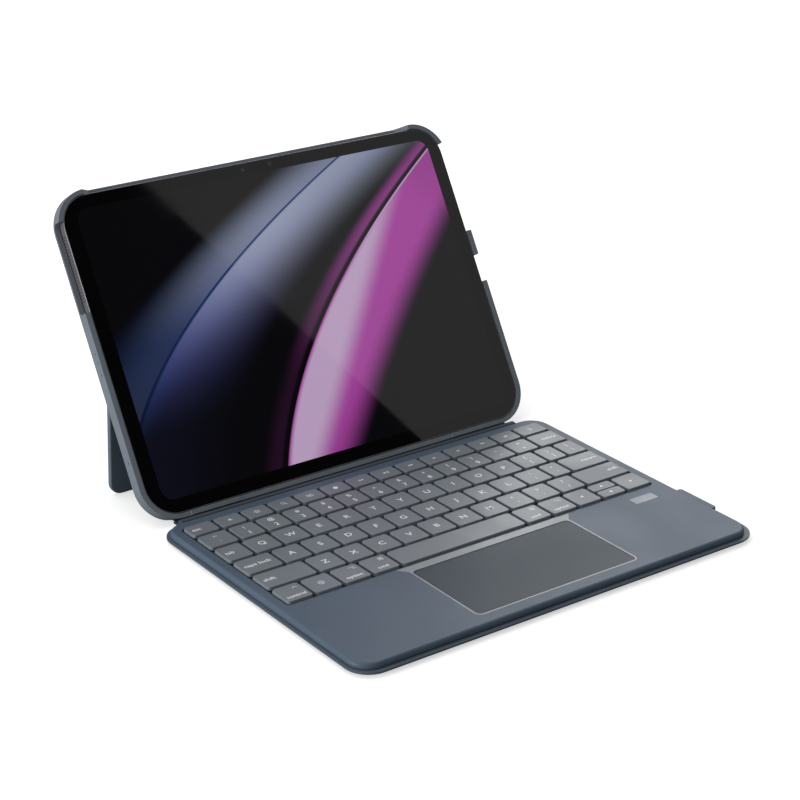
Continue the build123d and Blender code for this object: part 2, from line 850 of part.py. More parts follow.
flap = flap_frame(stand_open)
shut = flap_frame(0.0)
save(flap * stand_panel(), "kickstand")
save_group([shut * fixed_barrel(u) for u in (-barrel_u, barrel_u)], "kickstand_barrels")
save_group([flap * hinge_pin(u) for u in (-barrel_u, barrel_u)], "kickstand_pins")

save(on_glass(tablet_body()), "tablet_body")
save(on_glass(glass()), "tablet_glass")
save(on_glass(display_panel()), "display_panel")
save(on_glass(camera_housing()), "camera_housing")
save_group([on_glass(camera_lens(*place)) for place in lens_places], "camera_lenses")
for node, place in button_places.items():
    save(on_glass(button_blank(*place, 0.0, 0.0)), node)
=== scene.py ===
import math

import bmesh
import bpy
from mathutils import Matrix, Vector


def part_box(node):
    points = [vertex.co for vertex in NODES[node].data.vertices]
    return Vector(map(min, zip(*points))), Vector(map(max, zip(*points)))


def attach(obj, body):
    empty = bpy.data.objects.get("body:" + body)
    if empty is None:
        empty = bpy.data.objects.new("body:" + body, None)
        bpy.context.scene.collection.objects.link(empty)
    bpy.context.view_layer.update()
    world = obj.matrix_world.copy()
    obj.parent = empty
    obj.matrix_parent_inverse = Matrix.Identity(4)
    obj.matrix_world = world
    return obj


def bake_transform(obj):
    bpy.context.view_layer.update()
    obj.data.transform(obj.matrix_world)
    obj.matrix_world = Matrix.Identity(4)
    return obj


bl_info = {
    "name": "Tablet keyboard case",
    "version": (1, 0, 0),
    "blender": (4, 5, 0),
    "location": "View3D > Sidebar > Case",
    "description": "Finishes, key legends and soft hinges for a folding tablet keyboard case",
    "category": "Object",
}

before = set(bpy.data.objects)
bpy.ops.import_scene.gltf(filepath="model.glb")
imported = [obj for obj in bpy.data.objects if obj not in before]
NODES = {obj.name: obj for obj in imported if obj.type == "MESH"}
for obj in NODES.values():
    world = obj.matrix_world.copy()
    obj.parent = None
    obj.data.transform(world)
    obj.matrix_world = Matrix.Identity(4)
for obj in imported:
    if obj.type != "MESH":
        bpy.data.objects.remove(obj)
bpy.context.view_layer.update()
MM = 0.001

# Depth of the relief in a surface: moulded plastic and metal, and grained skin.
FINE_RELIEF = 0.004 * MM
SKIN_RELIEF = 0.03 * MM

# The glass is a plane that leans back: its lower front edge, its way up and its way out.
LEAN = math.radians(31)
GLASS_FOOT = Vector((0, 0.1002, 0.005364))
GLASS_UP = Vector((0, math.sin(LEAN), math.cos(LEAN)))
GLASS_OUT = Vector((0, -math.cos(LEAN), math.sin(LEAN)))


def tone(code, alpha=1.0):
    """Linear colour from a six-digit code."""
    parts = [int(code[i:i + 2], 16) / 255 for i in (0, 2, 4)]
    linear = [p / 12.92 if p <= 0.04045 else ((p + 0.055) / 1.055) ** 2.4 for p in parts]
    return (*linear, alpha)


def on_glass(u, v, n=0.0):
    """Point u across, v up and n out of the glass, all in millimetres."""
    return GLASS_FOOT + Vector((u, 0, 0)) * MM + GLASS_UP * (v * MM) + GLASS_OUT * (n * MM)


# ---- sizes and colours --------------------------------------------------------------------------
def colour(name, description, code):
    return bpy.props.FloatVectorProperty(
        name=name, description=description, subtype="COLOR", size=4, min=0, max=1, default=tone(code))


def length(name, description, default):
    return bpy.props.FloatProperty(
        name=name, description=description, subtype="DISTANCE", unit="LENGTH", default=default, min=0)


class CaseColours(bpy.types.PropertyGroup):
    shell: colour("Tray skin", "Soft skin of the tray and the back panel", "7a848d")
    deck: colour("Deck skin", "Soft skin of the keyboard deck", "526375")
    flange: colour("Cover skin", "Soft skin of the bottom cover", "5a6773")
    # The hinge skin is much darker than the tray: partly the strip's own slate colour, partly painted shade
    # for the shade between the tray and the deck.
    strip: colour("Hinge skin", "Flexible skin of the hinge strip", "4a525a")
    stand: colour("Stand skin", "Skin of the kickstand", "64727e")
    key: colour("Key plastic", "Satin plastic of the key caps", "7c848b")
    web: colour("Key web", "Dark grid between the keys", "1f2327")
    pad: colour("Trackpad face", "Touch surface of the trackpad", "364450")
    trim: colour("Trackpad trim", "Trim round the trackpad", "8d9398")
    badge: colour("Badge", "Blank metal badge on the palm rest", "9a9fa5")
    legend: colour("Legend", "Print on the keys", "fcfdfd")
    body: colour("Tablet body", "Bead-blasted metal of the tablet", "8b898c")
    night: colour("Screen dark", "Darkest part of the screen's picture", "040407")
    blue: colour("Screen blue", "Blue ribbon of the screen's picture", "1b3f80")
    lavender: colour("Screen lavender", "Violet end of the screen's pale ribbon", "4d5293")
    silver: colour("Screen silver", "Pale end of the screen's ribbons", "9298ac")
    magenta: colour("Screen magenta", "Magenta ribbon of the screen's picture", "9a3f92")
    blush: colour("Screen blush", "Lightest part of the magenta ribbon", "b39bba")
    floor: colour("Floor", "Pale floor and backdrop", "f6f6f6")


class CaseSizes(bpy.types.PropertyGroup):
    legend_lift: length("Legend lift", "Height of the print above the key's face", 0.00003)
    letter: length("Letter height", "Height of the letters on the keys", 0.0037)
    word: length("Word height", "Height of the small words on the keys", 0.0028)
    mark: length("Mark height", "Height of the upper marks on the paired keys", 0.0034)
    skin: length("Hinge skin", "Thickness of the flexible hinge skin", 0.00024)
    grain: length("Grain", "Size of one pebble of the skin's grain", 0.00055)
    hole: length("Speaker hole", "Width of one speaker hole", 0.0008)
    hole_pitch: length("Speaker hole pitch", "Spacing of the speaker holes", 0.0017)
    lens: bpy.props.FloatProperty(
        name="Lens", description="Camera lens, in millimetres of focal length", default=99.1, min=1)


# ---- shader groups ---------------------------------------------------------------------------------
def add(tree, kind, inputs=None, **settings):
    """Adds a node, sets its own settings and then its unlinked inputs."""
    made = tree.nodes.new(kind)
    for key, value in settings.items():
        setattr(made, key, value)
    for key, value in (inputs or {}).items():
        if isinstance(value, bpy.types.NodeSocket):
            tree.links.new(value, made.inputs[key])
        else:
            made.inputs[key].default_value = value
    return made


def sums(tree, operation, *values, clamp=False):
    """Result socket of one arithmetic step."""
    inputs = dict(enumerate(values))
    return add(tree, "ShaderNodeMath", inputs, operation=operation, use_clamp=clamp).outputs[0]


def vectors(tree, operation, first, second):
    """Result socket of one vector step."""
    return add(tree, "ShaderNodeVectorMath", {0: first, 1: second}, operation=operation).outputs[0]


def noise(tree, place, scale, detail, distortion=0.0):
    """Value socket of a noise texture."""
    inputs = {"Vector": place, "Scale": scale, "Detail": detail, "Distortion": distortion}
    return add(tree, "ShaderNodeTexNoise", inputs).outputs[0]


def ramp(tree, value, low, high, to_low=0.0, to_high=1.0, kind="SMOOTHSTEP"):
    """Value mapped from one range to another, held at both ends."""
    inputs = {"Value": value, "From Min": low, "From Max": high, "To Min": to_low, "To Max": to_high}
    return add(tree, "ShaderNodeMapRange", inputs, interpolation_type=kind, clamp=True).outputs[0]


def blend_colour(tree, factor, first, second, mode="MIX"):
    """Colour socket between two colours or sockets."""
    mix = add(tree, "ShaderNodeMix", data_type="RGBA", blend_type=mode)
    for socket, value in ((mix.inputs[0], factor), (mix.inputs[6], first), (mix.inputs[7], second)):
        if isinstance(value, bpy.types.NodeSocket):
            tree.links.new(value, socket)
        else:
            socket.default_value = value
    return mix.outputs[2]


def shader_group(name, inputs, outputs):
    """Empty shader group with float inputs after a vector, and float outputs."""
    group = bpy.data.node_groups.new(name, "ShaderNodeTree")
    group.interface.new_socket("Place", in_out="INPUT", socket_type="NodeSocketVector")
    for label, default in inputs.items():
        socket = group.interface.new_socket(label, in_out="INPUT", socket_type="NodeSocketFloat")
        socket.default_value = default
    for label in outputs:
        group.interface.new_socket(label, in_out="OUTPUT", socket_type="NodeSocketFloat")
    start = group.nodes.new("NodeGroupInput")
    end = group.nodes.new("NodeGroupOutput")
    return group, start.outputs, end.inputs


def pebble_group():
    """Soft pebbled grain: raised cells with fine creases between them."""
    inputs = {"Scale": 1800.0, "Unevenness": 0.5}
    group, given, out = shader_group("Pebble Grain", inputs, ["Height", "Tone"])
    cells = add(group, "ShaderNodeTexVoronoi",
                {"Vector": given["Place"], "Scale": given["Scale"], "Smoothness": 0.6}, feature="SMOOTH_F1")
    fine = sums(group, "MULTIPLY", given["Scale"], 2.7)
    specks = noise(group, given["Place"], fine, 2.0)
    broad = noise(group, given["Place"], 24.0, 3.0)
    dome = sums(group, "SUBTRACT", 1.0, cells.outputs["Distance"])
    rough = sums(group, "MULTIPLY", specks, given["Unevenness"])
    group.links.new(sums(group, "ADD", dome, rough), out["Height"])
    drift = ramp(group, broad, 0.3, 0.7)
    crease = ramp(group, cells.outputs["Distance"], 0.35, 0.75, 0.0, 0.35)
    group.links.new(sums(group, "ADD", sums(group, "MULTIPLY", drift, 0.65), crease, clamp=True), out["Tone"])
    return group


def satin_group():
    """Spark-eroded satin of moulded plastic."""
    inputs = {"Scale": 5200.0, "Drift": 30.0}
    group, given, out = shader_group("Moulded Satin", inputs, ["Height", "Tone"])
    fine = noise(group, given["Place"], given["Scale"], 2.0)
    broad = noise(group, given["Place"], given["Drift"], 2.0)
    group.links.new(fine, out["Height"])
    group.links.new(ramp(group, broad, 0.3, 0.7), out["Tone"])
    return group


def brushed_group():
    """Long fine scratches along X."""
    inputs = {"Scale": 900.0, "Stretch": 0.02}
    group, given, out = shader_group("Brushed Lines", inputs, ["Height", "Tone"])
    squeeze = add(group, "ShaderNodeCombineXYZ", {"X": given["Stretch"], "Y": 1.0, "Z": 1.0})
    place = vectors(group, "MULTIPLY", given["Place"], squeeze.outputs[0])
    lines = noise(group, place, given["Scale"], 3.0)
    group.links.new(lines, out["Height"])
    group.links.new(ramp(group, lines, 0.35, 0.65), out["Tone"])
    return group


def nap_group():
    """Short brushed nap with patches that lie in different ways."""
    inputs = {"Scale": 2600.0, "Patch": 40.0}
    group, given, out = shader_group("Brushed Nap", inputs, ["Height", "Tone"])
    patch = noise(group, given["Place"], given["Patch"], 2.0)
    tilt = sums(group, "MULTIPLY", patch, 0.0008)
    lie = add(group, "ShaderNodeCombineXYZ", {"X": tilt, "Y": tilt, "Z": 0.0})
    place = vectors(group, "ADD", given["Place"], lie.outputs[0])
    fibre = noise(group, place, given["Scale"], 5.0)
    group.links.new(fibre, out["Height"])
    both = sums(group, "MULTIPLY", fibre, patch)
    group.links.new(ramp(group, both, 0.12, 0.42), out["Tone"])
    return group


def track_group():
    """Printed circuit lines: fine parallel tracks that jog from field to field."""
    inputs = {"Scale": 260.0, "Field": 60.0}
    group, given, out = shader_group("Printed Tracks", inputs, ["Height", "Tone"])
    field = add(group, "ShaderNodeTexVoronoi", {"Vector": given["Place"], "Scale": given["Field"]},
                feature="F1", distance="CHEBYCHEV")
    jog = sums(group, "MULTIPLY", field.outputs["Distance"], 0.6)
    parts = add(group, "ShaderNodeSeparateXYZ", {0: given["Place"]})
    across = sums(group, "ADD", sums(group, "MULTIPLY", parts.outputs["Y"], given["Scale"]), jog)
    line = sums(group, "FRACT", across)
    mask = ramp(group, sums(group, "ABSOLUTE", sums(group, "SUBTRACT", line, 0.5)), 0.14, 0.2)
    group.links.new(mask, out["Tone"])
    group.links.new(mask, out["Height"])
    return group


def handling_group():
    """Faint smears from hands and cloths, for roughness."""
    inputs = {"Scale": 18.0, "Smooth": 0.35, "Rough": 0.5}
    group, given, out = shader_group("Handling Marks", inputs, ["Roughness"])
    smear = noise(group, given["Place"], given["Scale"], 4.0, 0.8)
    spot = ramp(group, smear, 0.32, 0.68, given["Smooth"], given["Rough"])
    group.links.new(spot, out["Roughness"])
    return group


GROUPS = {}
GROUP_MAKERS = {"pebble": pebble_group, "satin": satin_group, "brushed": brushed_group, "nap": nap_group,
                "tracks": track_group, "handling": handling_group}


def finish(name, first, second, texture, values, smooth, rough, depth, **fixed):
    """Principled material: two tones mixed by a texture group, its relief and its handling marks."""
    material = bpy.data.materials.new(name)
    material.use_nodes = True
    tree = material.node_tree
    tree.nodes.clear()
    place = add(tree, "ShaderNodeTexCoord").outputs["Object"]
    pattern = add(tree, "ShaderNodeGroup", node_tree=GROUPS[texture])
    tree.links.new(place, pattern.inputs["Place"])
    for label, value in values.items():
        pattern.inputs[label].default_value = value
    marks = add(tree, "ShaderNodeGroup", node_tree=GROUPS["handling"])
    tree.links.new(place, marks.inputs["Place"])
    marks.inputs["Smooth"].default_value = smooth
    marks.inputs["Rough"].default_value = rough
    relief = add(tree, "ShaderNodeBump",
                 {"Height": pattern.outputs["Height"], "Distance": depth, "Strength": 1.0})
    shader = add(tree, "ShaderNodeBsdfPrincipled")
    colour_mix = blend_colour(tree, pattern.outputs["Tone"], first, second)
    tree.links.new(colour_mix, shader.inputs["Base Color"])
    tree.links.new(marks.outputs["Roughness"], shader.inputs["Roughness"])
    tree.links.new(relief.outputs["Normal"], shader.inputs["Normal"])
    for label, value in fixed.items():
        shader.inputs[label.replace("_", " ")].default_value = value
    end = add(tree, "ShaderNodeOutputMaterial")
    tree.links.new(shader.outputs[0], end.inputs["Surface"])
    return material


def shade(colour_value, factor):
    """The same colour, darker or lighter."""
    return (*[min(1.0, c * factor) for c in colour_value[:3]], 1.0)


def skin(name, base, cells, depth=SKIN_RELIEF, smooth=0.46, rough=0.51):
    """Soft grained skin, with cells pebbles to the metre."""
    dark, light = shade(base, 0.93), shade(base, 1.07)
    return finish(name, dark, light, "pebble", {"Scale": cells}, smooth, rough, depth,
                  Specular_IOR_Level=0.42)


def plastic(name, base, smooth=0.34, rough=0.46, depth=FINE_RELIEF, **fixed):
    """Moulded satin plastic."""
    return finish(name, shade(base, 0.97), shade(base, 1.03), "satin", {}, smooth, rough, depth, **fixed)


def metal(name, first, second, smooth=0.22, rough=0.36):
    """Brushed metal between two tones."""
    return finish(name, first, second, "brushed", {}, smooth, rough, FINE_RELIEF, Metallic=1.0)


def paint(material, *names):
    """Gives CAD nodes or pieces one material."""
    for name in names:
        mesh = bpy.data.objects[name].data
        mesh.materials.clear()
        mesh.materials.append(material)


# ---- the screen's picture ------------------------------------------------------------------------
SCREEN = {"half": 0.1162, "low": 0.0079, "high": 0.1701, "corner": 0.0075}


def screen_material(colours):
    """Black glass with a lit field of soft overlapping ribbons behind it."""
    material = bpy.data.materials.new("Screen glass")
    material.use_nodes = True
    tree = material.node_tree
    tree.nodes.clear()
    place = add(tree, "ShaderNodeTexCoord").outputs["Object"]
    from_foot = vectors(tree, "SUBTRACT", place, GLASS_FOOT)
    across = add(tree, "ShaderNodeSeparateXYZ", {0: from_foot}).outputs["X"]
    dot = add(tree, "ShaderNodeVectorMath", {0: from_foot, 1: GLASS_UP}, operation="DOT_PRODUCT")
    up = dot.outputs["Value"]
    middle = (SCREEN["low"] + SCREEN["high"]) / 2
    tall = (SCREEN["high"] - SCREEN["low"]) / 2 - SCREEN["corner"]
    wide = SCREEN["half"] - SCREEN["corner"]
    off_x = sums(tree, "MAXIMUM", sums(tree, "SUBTRACT", sums(tree, "ABSOLUTE", across), wide), 0.0)
    off_y = sums(tree, "SUBTRACT", sums(tree, "ABSOLUTE", sums(tree, "SUBTRACT", up, middle)), tall)
    off_y = sums(tree, "MAXIMUM", off_y, 0.0)
    apart = sums(tree, "SQRT", sums(tree, "ADD", sums(tree, "MULTIPLY", off_x, off_x),
                                    sums(tree, "MULTIPLY", off_y, off_y)))
    inside = ramp(tree, apart, SCREEN["corner"] - 0.0001, SCREEN["corner"] + 0.0001, 1.0, 0.0)

    def beside(foot, slope, bow):
        """Distance in millimetres to the right of a bowed line that starts at foot on the lower edge."""
        height = sums(tree, "MULTIPLY", up, 1000.0)
        line = sums(tree, "ADD", sums(tree, "MULTIPLY", height, slope), foot)
        line = sums(tree, "ADD", line, sums(tree, "MULTIPLY", sums(tree, "MULTIPLY", height, height), bow))
        return sums(tree, "SUBTRACT", sums(tree, "MULTIPLY", across, 1000.0), line)

    def weigh(*masks):
        """Product of several masks."""
        product = masks[0]
        for mask in masks[1:]:
            product = sums(tree, "MULTIPLY", product, mask)
        return product

    def band(line, sharp, soft, peak=0.0):
        """One ribbon: it rises over sharp millimetres, and falls slowly past its peak."""
        return weigh(ramp(tree, line, -sharp, peak), ramp(tree, line, peak, peak + soft, 1.0, 0.0))

    haze = ramp(tree, noise(tree, place, 9.0, 1.0), 0.3, 0.7, 0.8, 1.0)
    high_up = ramp(tree, up, 0.05, 0.16, 0.16, 0.7)
    fold = beside(-137, 0.1, 0.006)
    petal = beside(-41, 0.34, 0.0037)
    split = beside(-14.5, 0.72, 0.0)
    fade = beside(-2, 0.75, 0.0013)
    picture = blend_colour(tree, weigh(band(beside(-176, 0.75, 0.0042), 62.0, 26.0), high_up),
                           colours.night, colours.blue)
    silver = weigh(band(fold, 46.0, 1.0, -1.0), ramp(tree, up, 0.085, 0.15, 0.05, 0.62), haze)
    picture = blend_colour(tree, silver, picture, colours.silver)
    lilac = weigh(band(fold, -0.8, 66.0, 3.0), ramp(tree, up, 0.04, 0.13, 0.03, 0.95), haze)
    dusk = blend_colour(tree, ramp(tree, up, 0.06, 0.15), colours.lavender, colours.silver)
    picture = blend_colour(tree, lilac, picture, dusk)
    plume = weigh(band(petal, 17.0, 3.0, -5.0), ramp(tree, up, 0.05, 0.15, 0.04, 0.6))
    picture = blend_colour(tree, plume, picture, colours.magenta)
    inside_petal = ramp(tree, petal, 0.0, 1.2)
    sweep = weigh(inside_petal, sums(tree, "SUBTRACT", 1.0, weigh(ramp(tree, split, -2.0, 4.0),
                                                                  ramp(tree, fade, -14.0, 12.0))), haze)
    picture = blend_colour(tree, sweep, picture, colours.magenta)
    gleam = weigh(ramp(tree, petal, 0.2, 4.0), ramp(tree, split, -16.0, 3.0, 0.95, 0.0))
    picture = blend_colour(tree, gleam, picture, colours.blush)
    hair = weigh(ramp(tree, petal, 0.4, 1.0), ramp(tree, petal, 1.4, 3.0, 0.8, 0.0),
                 ramp(tree, up, 0.1, 0.13))
    picture = blend_colour(tree, hair, picture, colours.blush)
    lit = blend_colour(tree, inside, (0.0, 0.0, 0.0, 1.0), picture)
    smears = add(tree, "ShaderNodeGroup", node_tree=GROUPS["handling"])
    tree.links.new(place, smears.inputs["Place"])
    smears.inputs["Smooth"].default_value = 0.015
    smears.inputs["Rough"].default_value = 0.05
    shader = add(tree, "ShaderNodeBsdfPrincipled")
    under = blend_colour(tree, inside, (0.0016, 0.0016, 0.0018, 1.0), (0.0022, 0.0022, 0.0025, 1.0))
    tree.links.new(under, shader.inputs["Base Color"])
    tree.links.new(lit, shader.inputs["Emission Color"])
    tree.links.new(smears.outputs["Roughness"], shader.inputs["Roughness"])
    shader.inputs["Emission Strength"].default_value = 1.0
    shader.inputs["IOR"].default_value = 1.5
    end = add(tree, "ShaderNodeOutputMaterial")
    tree.links.new(shader.outputs[0], end.inputs["Surface"])
    return material


# ---- mesh helpers -----------------------------------------------------------------------------------
def islands(name):
    """Boxes of a CAD node's separate solids, as (low, high) corners, from left to right."""
    mesh = NODES[name].data
    parent = {}

    def root(key):
        while parent[key] != key:
            parent[key] = parent[parent[key]]
            key = parent[key]
        return key

    keys = [tuple(round(c * 1e5) for c in vertex.co) for vertex in mesh.vertices]
    for key in keys:
        parent[key] = key
    for polygon in mesh.polygons:
        first = root(keys[polygon.vertices[0]])
        for index in polygon.vertices[1:]:
            parent[root(keys[index])] = first
    boxes = {}
    for vertex, key in zip(mesh.vertices, keys):
        low, high = boxes.setdefault(root(key), (vertex.co.copy(), vertex.co.copy()))
        for axis in range(3):
            low[axis] = min(low[axis], vertex.co[axis])
            high[axis] = max(high[axis], vertex.co[axis])
    return sorted(boxes.values(), key=lambda pair: pair[0].x)


def mesh_piece(name, mesh, body, material):
    """New piece with one material that rides on a body."""
    piece = bpy.data.objects.new(name, mesh)
    bpy.context.scene.collection.objects.link(piece)
    mesh.materials.append(material)
    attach(piece, body)


def disc(bm, centre, side, up, radius, inner=0.0, sides=24, thick=0.0):
    """Adds a flat disc or ring in the plane of side and up, with a bevelled rim where it has thickness."""
    out = side.cross(up)
    rings = [(inner, 0.0), (radius, 0.0)]
    if thick:
        rings = [(inner, thick), (radius - thick * 0.6, thick), (radius, thick * 0.4), (radius, 0.0)]
    rows = []
    for distance, height in rings:
        count = 1 if distance == 0 else sides
        row = []
        for step in range(count):
            angle = 2 * math.pi * step / sides
            way = side * math.cos(angle) + up * math.sin(angle)
            row.append(bm.verts.new(centre + way * distance + out * height))
        rows.append(row)
    for low, high in zip(rows, rows[1:]):
        for step in range(sides):
            after = (step + 1) % sides
            if len(low) == 1:
                bm.faces.new((low[0], high[step], high[after]))
            else:
                bm.faces.new((low[step], high[step], high[after], low[after]))


def outline_face(bm, points):
    """Adds one flat face through the points."""
    bm.faces.new([bm.verts.new(point) for point in points])


def as_mesh(bm, name):
    """Turns what was drawn into a mesh, and lets go of the drawing."""
    mesh = bpy.data.meshes.new(name)
    bm.normal_update()
    bm.to_mesh(mesh)
    bm.free()
    return mesh


# ---- key legends --------------------------------------------------------------------------------------
CAPITAL = 0.73  # height of a capital letter in a font of size 1
ICON_SCALE = 1.3  # the pictograms below are drawn small, and printed larger by this
LINE = 0.35 * MM  # thickness of a drawn line
WORD_EDGE = 2.2 * MM  # from a word to the edge of its key


def glyphs(bm, text, x, y, z, height, align="CENTER", stretch=1.0):
    """Adds flat lettering, centred on y, at height z."""
    font = bpy.data.curves.new("legend", "FONT")
    font.body = text
    font.size = 1.0
    font.align_x = align
    font.resolution_u = 3
    font.offset = 0.018
    holder = bpy.data.objects.new("legend", font)
    bpy.context.scene.collection.objects.link(holder)
    bpy.context.view_layer.update()
    mesh = bpy.data.meshes.new_from_object(holder.evaluated_get(bpy.context.evaluated_depsgraph_get()))
    low = min((v.co.y for v in mesh.vertices), default=0.0)
    high = max((v.co.y for v in mesh.vertices), default=1.0)
    scale = height / CAPITAL
    middle = (low + high) / 2 if len(text) == 1 else CAPITAL / 2 - 0.06
    for vertex in mesh.vertices:
        vertex.co = Vector((x + vertex.co.x * scale * stretch, y + (vertex.co.y - middle) * scale, z))
    bm.from_mesh(mesh)
    bpy.data.objects.remove(holder)
    bpy.data.curves.remove(font)
    bpy.data.meshes.remove(mesh)


def bar(bm, x, y, z, wide, tall, turn=0.0):
    """Flat bar about its middle, turned by an angle."""
    c, s = math.cos(turn), math.sin(turn)
    corners = ((-1, -1), (1, -1), (1, 1), (-1, 1))
    points = []
    for a, b in corners:
        right, top = a * wide / 2, b * tall / 2
        points.append(Vector((x + right * c - top * s, y + right * s + top * c, z)))
    outline_face(bm, points)


def wedge(bm, x, y, z, size, turn=0.0):
    """Triangle that points along turn."""
    points = []
    for angle in (0.0, 2.2, -2.2):
        points.append(Vector((x + size * math.cos(turn + angle), y + size * math.sin(turn + angle), z)))
    outline_face(bm, points)


def ring(bm, x, y, z, radius, inner=0.0):
    """Flat ring, or a dot where it has no hole."""
    disc(bm, Vector((x, y, z)), Vector((1, 0, 0)), Vector((0, 1, 0)), radius, inner, 20)


def rays(bm, x, y, z, near, far, count):
    """Short bars that stand round a point."""
    for step in range(count):
        turn = 2 * math.pi * step / count
        middle = (near + far) / 2
        bar(bm, x + math.cos(turn) * middle, y + math.sin(turn) * middle, z, far - near, LINE, turn)


def speaker(bm, x, y, z, waves):
    """Small horn with a number of waves in front of it."""
    bar(bm, x - 1.1 * MM, y, z, 0.7 * MM, 1.0 * MM)
    wedge(bm, x - 0.5 * MM, y, z, 1.1 * MM, math.pi)
    for step in range(waves):
        bar(bm, x + (0.7 + 0.7 * step) * MM, y, z, 0.3 * MM, (1.1 + 0.8 * step) * MM)


def icon(bm, kind, x, y, z):
    """Plain pictograms of the function row and the bottom row."""
    mm = MM * ICON_SCALE
    if kind == "dim":
        ring(bm, x, y, z, 0.6 * mm)
        rays(bm, x, y, z, 0.9 * mm, 1.2 * mm, 8)
    elif kind == "bright":
        ring(bm, x, y, z, 0.75 * mm, 0.45 * mm)
        rays(bm, x, y, z, 1.0 * mm, 1.6 * mm, 8)
    elif kind == "search":
        ring(bm, x - 0.2 * mm, y + 0.2 * mm, z, 1.0 * mm, 0.7 * mm)
        bar(bm, x + 0.85 * mm, y - 0.85 * mm, z, 1.1 * mm, 0.35 * mm, -math.pi / 4)
    elif kind == "board":
        for side in (-1, 1):
            bar(bm, x, y + side * 0.85 * mm, z, 2.9 * mm, 0.25 * mm)
            bar(bm, x + side * 1.35 * mm, y, z, 0.25 * mm, 1.7 * mm)
        bar(bm, x, y - 0.25 * mm, z, 1.3 * mm, 0.3 * mm)
        bar(bm, x, y + 0.3 * mm, z, 1.9 * mm, 0.3 * mm)
    elif kind == "dot":
        ring(bm, x, y, z, 1.15 * mm)
    elif kind == "back":
        wedge(bm, x - 0.6 * mm, y, z, 0.8 * mm, math.pi)
        wedge(bm, x + 0.6 * mm, y, z, 0.8 * mm, math.pi)
    elif kind == "play":
        wedge(bm, x - 0.7 * mm, y, z, 0.9 * mm)
        bar(bm, x + 0.6 * mm, y, z, 0.35 * mm, 1.6 * mm)
        bar(bm, x + 1.2 * mm, y, z, 0.35 * mm, 1.6 * mm)
    elif kind == "next":
        wedge(bm, x - 0.6 * mm, y, z, 0.8 * mm)
        wedge(bm, x + 0.6 * mm, y, z, 0.8 * mm)
    elif kind == "quiet":
        speaker(bm, x, y, z, 0)
    elif kind == "softer":
        speaker(bm, x, y, z, 1)
    elif kind == "louder":
        speaker(bm, x, y, z, 2)
    elif kind == "signal":
        for step in range(3):
            off = (step - 1) * mm
            bar(bm, x + 0.8 * off, y + 0.25 * off, z, 0.4 * mm, (1.1 + 0.5 * step) * mm)
    elif kind == "lock":
        bar(bm, x, y - 0.4 * mm, z, 1.7 * mm, 1.2 * mm)
        ring(bm, x, y + 0.35 * mm, z, 0.75 * mm, 0.45 * mm)
    elif kind == "globe":
        ring(bm, x, y, z, 1.35 * mm, 1.1 * mm)
        bar(bm, x, y, z, 2.3 * mm, 0.22 * mm)
        bar(bm, x, y, z, 0.22 * mm, 2.3 * mm)
    elif kind == "roof":
        bar(bm, x - 0.45 * mm, y, z, 1.4 * mm, 0.32 * mm, 0.75)
        bar(bm, x + 0.45 * mm, y, z, 1.4 * mm, 0.32 * mm, -0.75)
    elif kind == "steps":
        bar(bm, x - 0.9 * mm, y + 0.6 * mm, z, 1.0 * mm, 0.3 * mm)
        bar(bm, x + 0.1 * mm, y, z, 1.7 * mm, 0.3 * mm, -0.9)
        bar(bm, x + 1.1 * mm, y - 0.6 * mm, z, 1.2 * mm, 0.3 * mm)
        bar(bm, x + 1.0 * mm, y + 0.6 * mm, z, 1.2 * mm, 0.3 * mm)
    elif kind == "square":
        for side in (-1, 1):
            bar(bm, x, y + side * 0.9 * mm, z, 2.0 * mm, 0.3 * mm)
            bar(bm, x + side * 0.9 * mm, y, z, 0.3 * mm, 2.0 * mm)
        ring(bm, x, y, z, 0.4 * mm)
    elif kind in ("left", "up", "right", "down"):
        turn = {"right": 0.0, "up": math.pi / 2, "left": math.pi, "down": -math.pi / 2}[kind]
        wedge(bm, x, y, z, 1.1 * mm, turn)


# What is printed on each key, from left to right. One sign is a letter, and two are an upper and a lower
# mark. A star starts a pictogram, < a word at the left edge, > one at the right edge, and _ a word with a
# pictogram after the slash.
LEGENDS = {
    "key_escape": ["<esc"],
    "function_keys": ["*dim", "*bright", "*search", "*board", "*dot", "*back", "*play", "*next", "*quiet",
                      "*softer", "*louder", "*signal", "*lock"],
    "number_keys": ["~`", "!1", "@2", "#3", "$4", "%5", "^6", "&7", "*8", "(9", ")0", "_-", "+="],
    "key_delete": [">delete"],
    "key_tab": ["<tab"],
    "upper_letter_keys": list("QWERTYUIOP") + ["{[", "}]"],
    "key_backslash": ["|\\"],
    "key_caps_lock": ["<caps lock"],
    "home_letter_keys": list("ASDFGHJKL") + [":;", "\"'"],
    "key_return": [">return"],
    "key_left_shift": ["<shift"],
    "lower_letter_keys": list("ZXCVBNM") + ["<,", ">.", "?/"],
    "key_right_shift": [">shift"],
    "key_control": ["_control/roof"],
    "key_layer": ["*globe"],
    "key_left_alt": ["_option/steps"],
    "key_left_super": ["_cmd/square"],
    "space_bar": [],
    "key_right_super": ["_cmd/square"],
    "key_right_alt": ["_option/steps"],
    "key_arrow_left": ["*left"],
    "key_arrow_up": ["*up"],
    "key_arrow_down": ["*down"],
    "key_arrow_right": ["*right"],
}


